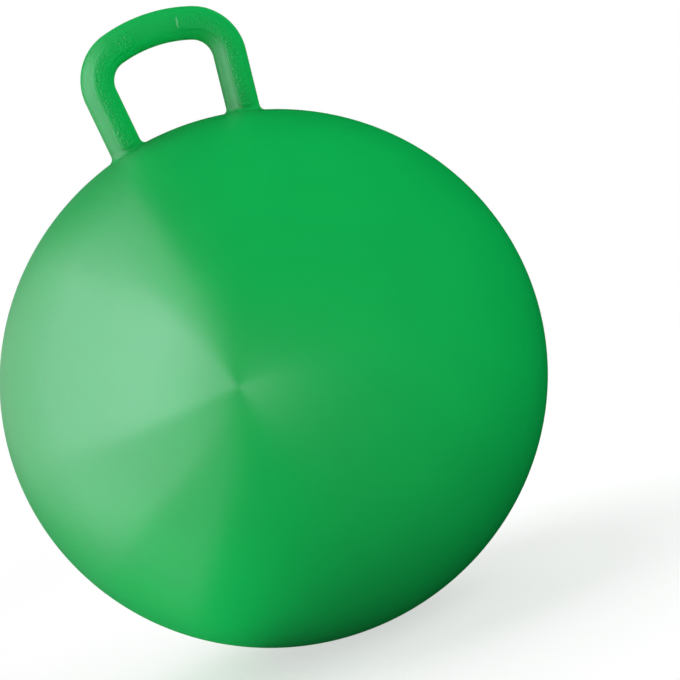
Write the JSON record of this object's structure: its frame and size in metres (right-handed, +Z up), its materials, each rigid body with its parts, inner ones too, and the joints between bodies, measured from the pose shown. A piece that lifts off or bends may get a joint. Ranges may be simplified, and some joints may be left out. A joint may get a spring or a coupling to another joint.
{
  "type": "hopper ball",
  "caption": "Inflated, slightly flattened bouncing ball to sit on, with a hollow loop handle on top, textured grip pads and a push-in valve stopper at the back.",
  "frame": {"origin": "middle of the flat patch that the ball stands on, on the handle's axis", "axes": "+Z up through the handle, +X along the handle's width, -Y the front of the handle, with the valve at the back"},
  "size_m": [0.5899, 0.59, 0.7],
  "materials": {
    "ball_skin": "satin green soft vinyl with fine turned mould marks",
    "handle_vinyl": "satin green soft vinyl with pebbled grip pads",
    "valve_vinyl": "smooth green soft vinyl",
    "stopper_white": "waxy white moulded polyethylene"
  },
  "bodies": {
    "ball": {"ball_shell": "ball_skin", "handle": "handle_vinyl", "valve_insert": "valve_vinyl"},
    "stopper": {"valve_plug": "stopper_white"}
  },
  "joints": [
    {"name": "stopper_pull", "type": "slide", "parent": "ball", "child": "stopper", "axis": [0.3584, 0.9336, 0], "range_m": [0, 0.03]}
  ]
}
